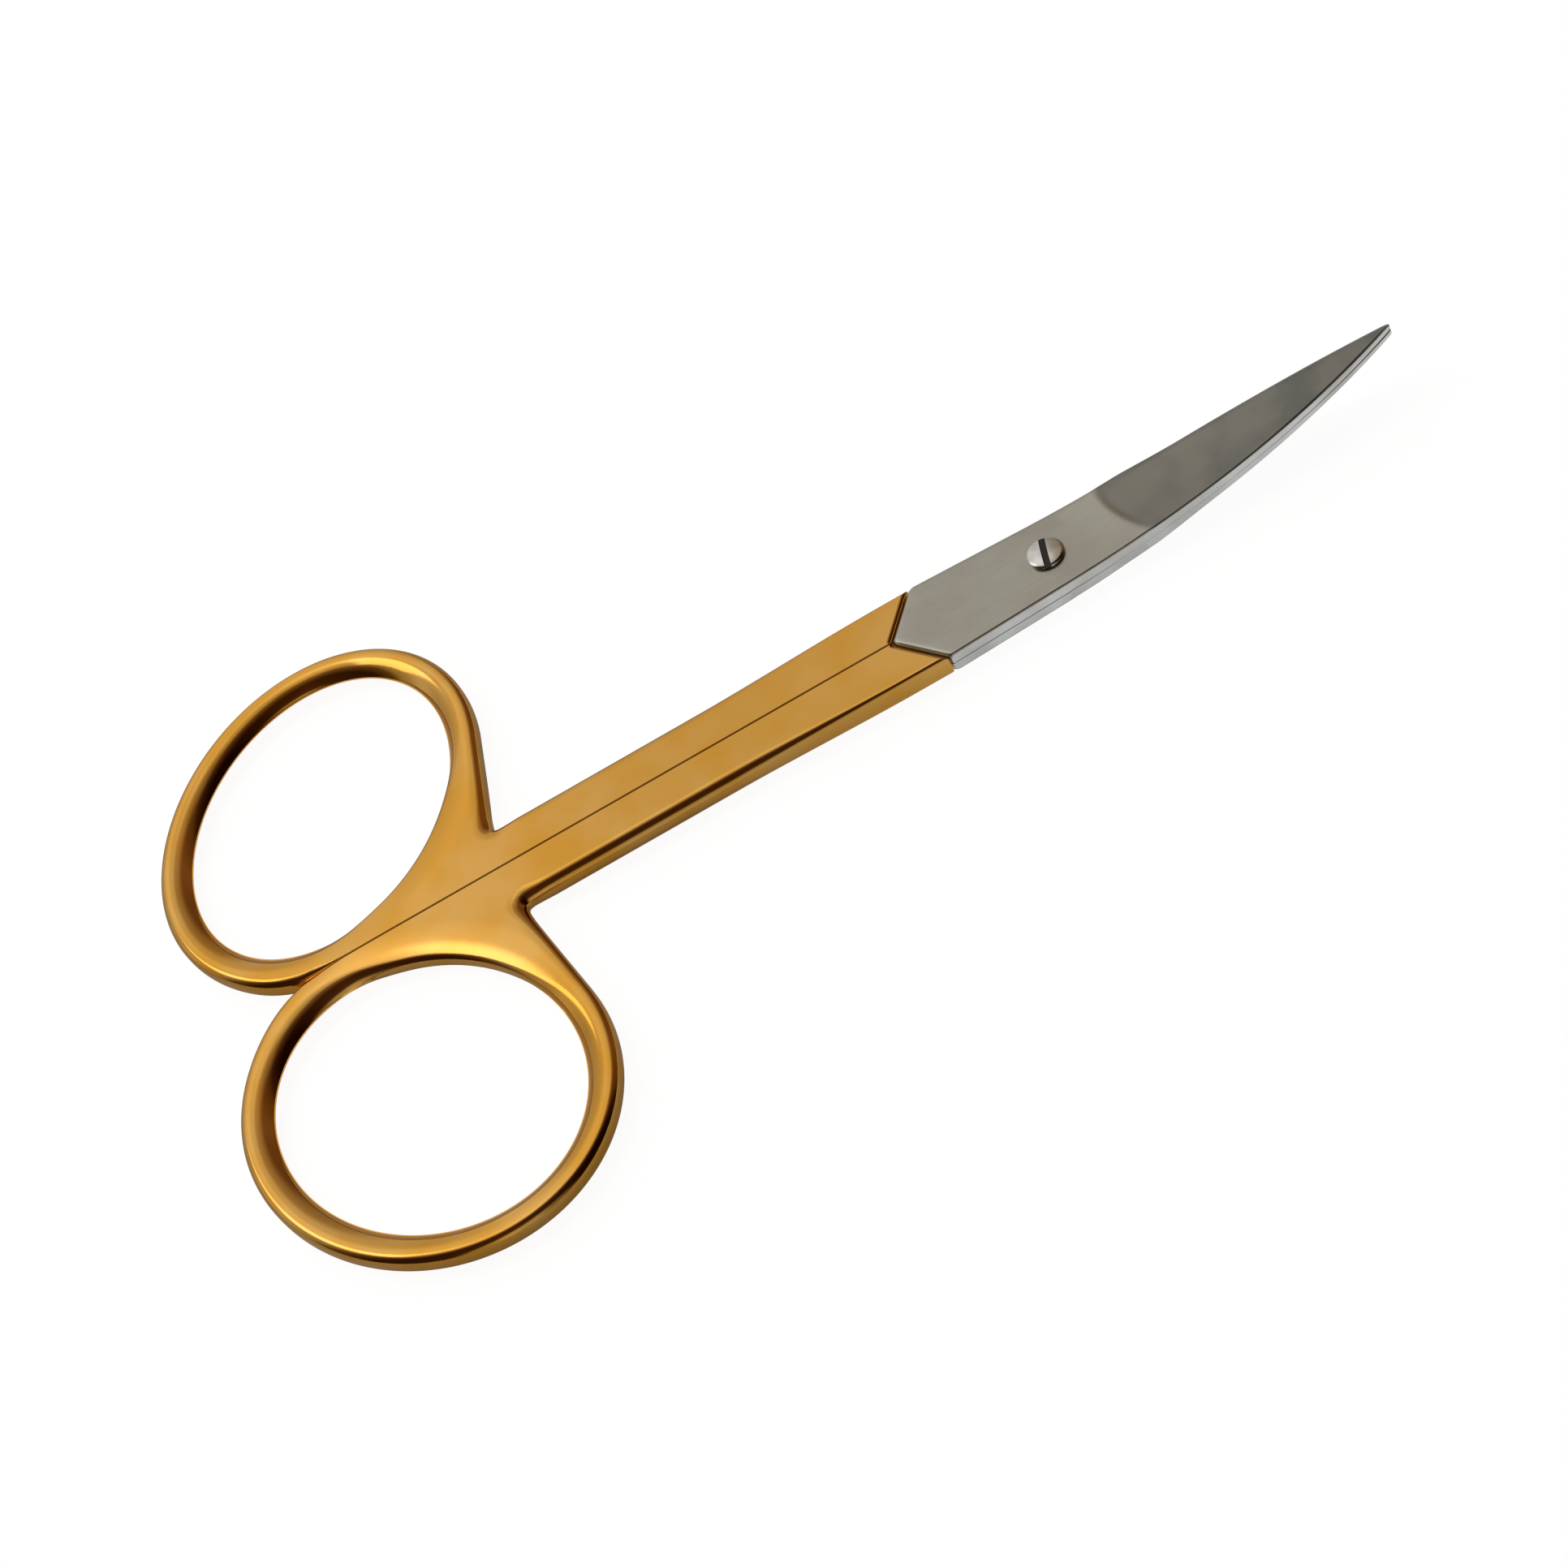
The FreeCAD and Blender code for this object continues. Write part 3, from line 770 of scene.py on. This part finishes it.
# Turning marks on the screw, in radians for each millimetre, and their share of the relief
TURNING_PITCH, TURNING_SHARE = 70.0, 0.3
# Tone of the screw's darker drifts
DARKER = 0.8


class Nodes:
    """A short way to add and join shader nodes in one tree."""

    def __init__(self, tree):
        self.tree = tree

    def add(self, kind, values=None, **settings):
        """A node with settings, and inputs given by name or number as values or as other nodes' outputs."""
        node = self.tree.nodes.new(kind)
        for name, setting in settings.items():
            setattr(node, name, setting)
        for key, value in (values or {}).items():
            if isinstance(value, bpy.types.NodeSocket):
                self.tree.links.new(value, node.inputs[key])
            else:
                node.inputs[key].default_value = value
        return node

    def math(self, operation, first, second=0.0):
        """The result of one sum."""
        return self.add("ShaderNodeMath", {0: first, 1: second}, operation=operation).outputs[0]

    def spread(self, value, low, high, new_low, new_high):
        """A value moved from one range to another, and held there."""
        ranges = {"Value": value, "From Min": low, "From Max": high, "To Min": new_low, "To Max": new_high}
        return self.add("ShaderNodeMapRange", ranges).outputs["Result"]

    def mix(self, factor, first, second, **settings):
        """A mix of two colours."""
        values = {0: factor, 6: first, 7: second}
        return self.add("ShaderNodeMix", values, data_type="RGBA", **settings).outputs[2]


def marks_group():
    """A shared group of tool marks: long fine scratches and slow drifts, as two values from 0 to 1.

    It reads places in millimetres. Grain stretches the scratches along X, and Pitch is how fine they are.
    """
    known = bpy.data.node_groups.get("tool_marks")
    if known:
        return known
    tree = bpy.data.node_groups.new("tool_marks", "ShaderNodeTree")
    tree.interface.new_socket("Place", in_out="INPUT", socket_type="NodeSocketVector")
    for title, default in (("Grain", 20.0), ("Pitch", 9.0), ("Drift", 0.12)):
        socket = tree.interface.new_socket(title, in_out="INPUT", socket_type="NodeSocketFloat")
        socket.default_value = default
    for title in ("Scratches", "Drifts"):
        tree.interface.new_socket(title, in_out="OUTPUT", socket_type="NodeSocketFloat")
    nodes = Nodes(tree)
    given = nodes.add("NodeGroupInput").outputs
    parts = nodes.add("ShaderNodeSeparateXYZ", {0: given["Place"]}).outputs
    pulled = nodes.math("DIVIDE", parts["X"], given["Grain"])
    lines = nodes.add("ShaderNodeCombineXYZ", {"X": pulled, "Y": parts["Y"], "Z": parts["Z"]}).outputs[0]
    fine_noise = {"Vector": lines, "Scale": given["Pitch"], "Detail": 5.0, "Roughness": 0.65}
    fine = nodes.add("ShaderNodeTexNoise", fine_noise).outputs["Fac"]
    slow_noise = {"Vector": given["Place"], "Scale": given["Drift"], "Detail": 2.0}
    slow = nodes.add("ShaderNodeTexNoise", slow_noise).outputs["Fac"]
    result = nodes.add("NodeGroupOutput")
    tree.links.new(nodes.spread(fine, *SCRATCH_STRETCH, 0.0, 1.0), result.inputs["Scratches"])
    tree.links.new(nodes.spread(slow, *DRIFT_STRETCH, 0.0, 1.0), result.inputs["Drifts"])
    return tree


def start_metal(name):
    """A new material with its nodes, its metal shader and places in millimetres."""
    material = bpy.data.materials.new(name)
    material.use_nodes = True
    nodes = Nodes(material.node_tree)
    shader = material.node_tree.nodes["Principled BSDF"]
    shader.inputs["Metallic"].default_value = 1.0
    place = nodes.add("ShaderNodeTexCoord").outputs["Object"]
    scaled = nodes.add("ShaderNodeVectorMath", {0: place, 1: (1 / MILLIMETRE,) * 3}, operation="MULTIPLY")
    return material, nodes, shader, scaled.outputs[0]


def marks(nodes, place, grain, pitch, drift):
    """Scratches and drifts of the shared group with this finish's own values."""
    group = nodes.add("ShaderNodeGroup", node_tree=marks_group())
    nodes.tree.links.new(place, group.inputs["Place"])
    for title, value in (("Grain", grain), ("Pitch", pitch), ("Drift", drift)):
        group.inputs[title].default_value = value
    return group.outputs["Scratches"], group.outputs["Drifts"]


def polish(nodes, lines, roughness, low, high):
    """Roughness that follows the marks, from a low to a high share of the finish's own."""
    return nodes.spread(lines, 0.0, 1.0, low * roughness, high * roughness)


def join(nodes, shader, base, roughness, height, strength):
    """Lead colour, roughness and bump into the metal shader."""
    links = nodes.tree.links
    links.new(base, shader.inputs["Base Color"])
    links.new(roughness, shader.inputs["Roughness"])
    relief = {"Strength": strength, "Distance": MARK_HEIGHT, "Height": height}
    links.new(nodes.add("ShaderNodeBump", relief).outputs["Normal"], shader.inputs["Normal"])


def opaque(value):
    """A colour with full alpha."""
    return (*value, 1.0)


def grey(level):
    """An opaque grey."""
    return opaque((level, level, level))


def gold_material(finish):
    """Mirror-polished plating: slow drifts between two golds, and hairline marks along the shank."""
    material, nodes, shader, place = start_metal("gold_plate")
    scratches, drifts = marks(nodes, place, grain=30.0, pitch=14.0, drift=0.22)
    base = nodes.mix(drifts, opaque(finish.gold), opaque(finish.gold_pale))
    roughness = polish(nodes, scratches, finish.gold_polish, low=0.75, high=1.35)
    join(nodes, shader, base, roughness, scratches, strength=0.06)
    return material


def steel_material(finish):
    """Satin steel: brushed lengthwise on the flat joint and ground across ahead, with painted shade darkening
    the ground face, partly its real ground tone, and a painted reflection making the sides pale.
    """
    material, nodes, shader, place = start_metal("blade_steel")
    along, drifts = marks(nodes, place, grain=25.0, pitch=12.0, drift=0.3)
    turned = nodes.add("ShaderNodeMapping", {"Vector": place, "Rotation": (0, 0, CROSS_TURN)}).outputs[0]
    cross = marks(nodes, turned, grain=18.0, pitch=10.0, drift=0.3)[0]
    mask = nodes.add("ShaderNodeAttribute", attribute_name="ground").outputs["Fac"]
    lines = nodes.add("ShaderNodeMix", {0: mask, 2: along, 3: cross}).outputs[0]
    wall = nodes.add("ShaderNodeAttribute", attribute_name="wall").outputs["Fac"]
    # Painted reflection: the blades' walls take the paler side colour
    sides = nodes.mix(wall, opaque(finish.steel), opaque(finish.steel_side_sheen))
    # Painted shade: the ground face takes the darker ground colour, partly its real ground tone
    base = nodes.mix(nodes.math("SUBTRACT", mask, wall), sides, opaque(finish.ground_steel_and_shade))
    shade = nodes.spread(lines, 0.0, 1.0, *LINE_TONES)
    tinted = nodes.add("ShaderNodeVectorMath", {0: base, "Scale": shade}, operation="SCALE").outputs[0]
    warm = nodes.mix(nodes.math("MULTIPLY", drifts, WARM_SHARE), tinted, opaque(finish.steel_warm))
    roughness = polish(nodes, lines, finish.steel_polish, low=0.85, high=1.25)
    join(nodes, shader, warm, roughness, lines, strength=0.12)
    return material


def screw_material(finish):
    """Turned steel: fine rings about the pivot axis, a little drift in tone, and painted shade in the slot.
    """
    material, nodes, shader, place = start_metal("screw_steel")
    scratches, drifts = marks(nodes, place, grain=3.0, pitch=16.0, drift=0.9)
    parts = nodes.add("ShaderNodeSeparateXYZ", {0: place}).outputs
    squares = [nodes.math("POWER", parts[axis], 2.0) for axis in ("X", "Y")]
    away = nodes.math("SQRT", nodes.math("ADD", *squares))
    rings = nodes.math("SINE", nodes.math("MULTIPLY", away, TURNING_PITCH))
    darker = tuple(DARKER * part for part in finish.screw)
    unshaded = nodes.mix(drifts, opaque(finish.screw), opaque(darker))
    # Painted shade: the groove mask darkens the slot's faces
    slot = nodes.add("ShaderNodeAttribute", attribute_name="groove").outputs["Fac"]
    base = nodes.mix(slot, unshaded, opaque(finish.slot_shade))
    height = nodes.math("ADD", nodes.math("MULTIPLY", rings, TURNING_SHARE), scratches)
    roughness = polish(nodes, scratches, finish.screw_polish, low=0.8, high=1.4)
    join(nodes, shader, base, roughness, height, strength=0.08)
    return material


# Stage

# Drop of the floor below the scissors, so that the two never share a plane
FLOOR_DROP = 0.05 * MILLIMETRE
# Greys of the floor: where it lights the scissors, where the camera sees their shadow, and in reflections
LIT_GREY, SHADOW_GREY, MIRRORED_GREY = 0.8, 0.25, 0.6
# Glow that makes the floor white to the camera
FLOOR_GLOW = 0.94
# Cool tone of the floor's glow in reflections
MIRRORED_TONE = (0.94, 1, 1.04)
# Places along the scissors between which that glow rises, and its levels there
MIRRORED_FADE, MIRRORED_LEVELS = (-28 * MILLIMETRE, -4 * MILLIMETRE), (0.14, 0.45)
# Light from the camera's side to the far side: places from -1 to 1, each with its level or its colour
NEAR_TO_FAR = (
    (-1.0, 0.5),
    (-0.87, 0.4),
    (-0.74, (0.055, 0.03, 0.02)),
    (-0.25, (0.045, 0.02, 0.012)),
    (0.0, (0.15, 0.1, 0.07)),
    (0.22, 0.62),
    (0.45, 0.95),
    (0.66, 0.72),
    (0.95, 0.62),
)
# Light from the handles' end to the blades' end, in the same way
HANDLES_TO_BLADES = (
    (-0.75, 0.55),
    (-0.4, 0.8),
    (-0.18, 1.1),
    (-0.05, 0.84),
    (0.06, 0.84),
    (0.28, (0.46, 0.39, 0.32)),
    (0.6, (0.18, 0.1, 0.06)),
)
# Place of the lamp and of what it faces, in metres
LAMP_PLACE, LAMP_TARGET = (-0.4, 0.3, 0.55), (-0.02, 0, 0)


def floor_material():
    """Pale floor: white to the camera, with the object's soft shadow kept on it.

    In reflections it is pale under the blades and falls off towards the rings.
    """
    material = bpy.data.materials.new("pale_floor")
    material.use_nodes = True
    nodes = Nodes(material.node_tree)
    nodes.tree.nodes.remove(nodes.tree.nodes["Principled BSDF"])
    path = nodes.add("ShaderNodeLightPath").outputs
    plain, faint, dull = [
        nodes.add("ShaderNodeBsdfDiffuse", {"Color": grey(level)}).outputs[0]
        for level in (LIT_GREY, SHADOW_GREY, MIRRORED_GREY)
    ]
    white = nodes.add("ShaderNodeEmission", {"Color": grey(1), "Strength": FLOOR_GLOW}).outputs[0]
    seen = nodes.add("ShaderNodeAddShader", {0: faint, 1: white}).outputs[0]
    place = nodes.add("ShaderNodeTexCoord").outputs["Object"]
    along = nodes.add("ShaderNodeSeparateXYZ", {0: place}).outputs["X"]
    level = nodes.spread(along, *MIRRORED_FADE, *MIRRORED_LEVELS)
    glow = nodes.add("ShaderNodeEmission", {"Color": opaque(MIRRORED_TONE), "Strength": level}).outputs[0]
    reflected = nodes.add("ShaderNodeAddShader", {0: dull, 1: glow}).outputs[0]
    bent = nodes.math("MAXIMUM", path["Is Glossy Ray"], path["Is Transmission Ray"])
    first = nodes.add("ShaderNodeMixShader", {0: bent, 1: plain, 2: reflected}).outputs[0]
    last = nodes.add("ShaderNodeMixShader", {0: path["Is Camera Ray"], 1: first, 2: seen}).outputs[0]
    output = next(node for node in nodes.tree.nodes if node.type == "OUTPUT_MATERIAL")
    nodes.tree.links.new(last, output.inputs["Surface"])
    return material


def light_tent():
    """World light by direction: pale on the far side, dark where the camera stands and dim low on its side.

    One ramp runs from the near side to the far side, and is multiplied by another from the handles' end
    to the blades' end. To the camera itself the world is white.
    """
    world = bpy.data.worlds.new("light_tent")
    bpy.context.scene.world = world
    world.use_nodes = True
    nodes = Nodes(world.node_tree)
    direction = nodes.add("ShaderNodeTexCoord").outputs["Generated"]
    parts = nodes.add("ShaderNodeSeparateXYZ", {0: direction}).outputs

    def ramp(value, stops):
        """Colours along a value from -1 to 1, through the given stops."""
        node = nodes.add("ShaderNodeValToRGB", {0: nodes.spread(value, -1.0, 1.0, 0.0, 1.0)})
        node.color_ramp.interpolation = "EASE"
        points = node.color_ramp.elements
        while len(points) < len(stops):
            points.new(0.5)
        for point, (place, level) in zip(points, stops):
            point.position = (place + 1) / 2
            point.color = opaque(np.broadcast_to(level, 3))
        return node.outputs["Color"]

    depth, width = ramp(parts["Y"], NEAR_TO_FAR), ramp(parts["X"], HANDLES_TO_BLADES)
    light = nodes.mix(1.0, depth, width, blend_type="MULTIPLY")
    backdrop = nodes.add("ShaderNodeLightPath").outputs["Is Camera Ray"]
    shown = nodes.mix(backdrop, light, grey(1))
    nodes.tree.links.new(shown, nodes.tree.nodes["Background"].inputs["Color"])


def add_camera(stage, thickness):
    """The photograph's camera: it looks down at the pivot's place in the picture, turned about its view."""
    cosine, sine = math.cos(stage.azimuth), math.sin(stage.azimuth)
    flat, steep = math.cos(stage.elevation), math.sin(stage.elevation)
    level = Vector((cosine, sine, 0))
    upward = Vector((-steep * sine, steep * cosine, flat))
    back = Vector((sine * flat, -cosine * flat, steep))
    right = math.cos(stage.roll) * level - math.sin(stage.roll) * upward
    up = math.sin(stage.roll) * level + math.cos(stage.roll) * upward
    scale = stage.pixels / MILLIMETRE
    shift = Vector((stage.pivot_x - PHOTO_PIXELS / 2, PHOTO_PIXELS / 2 - stage.pivot_y)) / scale
    place = Vector((0, 0, thickness)) + stage.distance * back - shift.x * right - shift.y * up
    data = bpy.data.cameras.new("camera")
    data.sensor_width = 36.0
    data.lens = scale * stage.distance / PHOTO_PIXELS * data.sensor_width
    data.clip_start = 0.001
    data.clip_end = 20.0
    camera = bpy.data.objects.new("camera", data)
    bpy.context.scene.collection.objects.link(camera)
    camera.matrix_world = Matrix((
        (right.x, up.x, back.x, place.x),
        (right.y, up.y, back.y, place.y),
        (right.z, up.z, back.z, place.z),
        (0, 0, 0, 1),
    ))
    bpy.context.scene.camera = camera


def add_lamp(name, place, target, size, power):
    """A square soft lamp that faces a target."""
    data = bpy.data.lights.new(name, "AREA")
    data.size = size
    data.energy = power
    lamp = bpy.data.objects.new(name, data)
    bpy.context.scene.collection.objects.link(lamp)
    lamp.location = place
    lamp.rotation_mode = "QUATERNION"
    lamp.rotation_quaternion = (Vector(target) - Vector(place)).to_track_quat("-Z", "Y")


# Operators

class SCISSORS_OT_handles(bpy.types.Operator):
    """Build both gold-plated handles"""

    bl_idname = "scissors.handles"
    bl_label = "Handles"

    def execute(self, context):
        material = gold_material(context.scene.scissors_finishes)
        points, faces = handle_surface(context.scene.scissors_handles)
        add_piece("handle_of_upper_blade", points, faces, material, "upper_handle", "gold_plate")
        points, faces = mirrored(points, faces)
        add_piece("handle_of_lower_blade", points, faces, material, "lower_handle", "gold_plate")
        return {"FINISHED"}


class SCISSORS_OT_blades(bpy.types.Operator):
    """Build both satin steel blades"""

    bl_idname = "scissors.blades"
    bl_label = "Blades"

    def execute(self, context):
        sizes = context.scene.scissors_blades
        material = steel_material(context.scene.scissors_finishes)
        for name, side in (("upper_blade", UPPER), ("lower_blade", LOWER)):
            points, faces, ground, walls = blade_surface(sizes, side)
            # The ground mask carries painted shade and the wall mask a painted reflection
            masks = {"ground": ground, "wall": walls}
            add_piece("curved_" + name, points, faces, material, name, "blade_steel", **masks)
        return {"FINISHED"}


class SCISSORS_OT_screw(bpy.types.Operator):
    """Build the slotted pivot screw"""

    bl_idname = "scissors.screw"
    bl_label = "Pivot screw"

    def execute(self, context):
        thickness = context.scene.scissors_handles.thickness
        points, faces, slot = screw_surface(context.scene.scissors_screw, thickness)
        material = screw_material(context.scene.scissors_finishes)
        # The groove mask sets the painted shade in the slot
        add_piece("slotted_screw", points, faces, material, "pivot_screw", "screw_steel", groove=slot)
        return {"FINISHED"}


class SCISSORS_OT_stage(bpy.types.Operator):
    """Set up the camera, the pale floor and the soft light"""

    bl_idname = "scissors.stage"
    bl_label = "Stage"

    def execute(self, context):
        stage = context.scene.scissors_stage
        context.scene.view_settings.view_transform = "Standard"
        mesh = bpy.data.meshes.new("floor")
        half = stage.floor
        outline = ((-half, -half), (half, -half), (half, half), (-half, half))
        corners = [(x, y, -FLOOR_DROP) for x, y in outline]
        mesh.from_pydata(corners, [], [(0, 1, 2, 3)])
        mesh.materials.append(floor_material())
        floor = bpy.data.objects.new("floor", mesh)
        context.scene.collection.objects.link(floor)
        light_tent()
        add_lamp("soft_lamp", LAMP_PLACE, LAMP_TARGET, stage.lamp, stage.lamp_power)
        add_camera(stage, context.scene.scissors_handles.thickness)
        return {"FINISHED"}


class SCISSORS_PT_panel(bpy.types.Panel):
    """Buttons and sizes of the scissors."""

    bl_idname = "SCISSORS_PT_panel"
    bl_label = "Cuticle scissors"
    bl_space_type = "VIEW_3D"
    bl_region_type = "UI"
    bl_category = "Scissors"

    def draw(self, context):
        for operator in OPERATORS:
            self.layout.operator(operator.bl_idname)
        for name in GROUPS:
            group = getattr(context.scene, name)
            box = self.layout.box()
            for field in group.__annotations__:
                box.prop(group, field)


OPERATORS = (SCISSORS_OT_stage, SCISSORS_OT_handles, SCISSORS_OT_blades, SCISSORS_OT_screw)
GROUPS = {
    "scissors_handles": HandleSizes,
    "scissors_blades": BladeSizes,
    "scissors_screw": ScrewSizes,
    "scissors_finishes": Finishes,
    "scissors_stage": StageSizes,
}
CLASSES = (*GROUPS.values(), *OPERATORS, SCISSORS_PT_panel)


def register():
    """Register the classes and give every scene the groups of sizes."""
    for item in CLASSES:
        bpy.utils.register_class(item)
    for name, group in GROUPS.items():
        setattr(bpy.types.Scene, name, bpy.props.PointerProperty(type=group))


def unregister():
    """Take the groups and classes away again."""
    for name in GROUPS:
        delattr(bpy.types.Scene, name)
    for item in reversed(CLASSES):
        bpy.utils.unregister_class(item)


def main():
    """Build the scissors and their stage."""
    register()
    bpy.ops.scissors.stage()
    bpy.ops.scissors.handles()
    bpy.ops.scissors.blades()
    bpy.ops.scissors.screw()


if __name__ == "__main__":
    main()
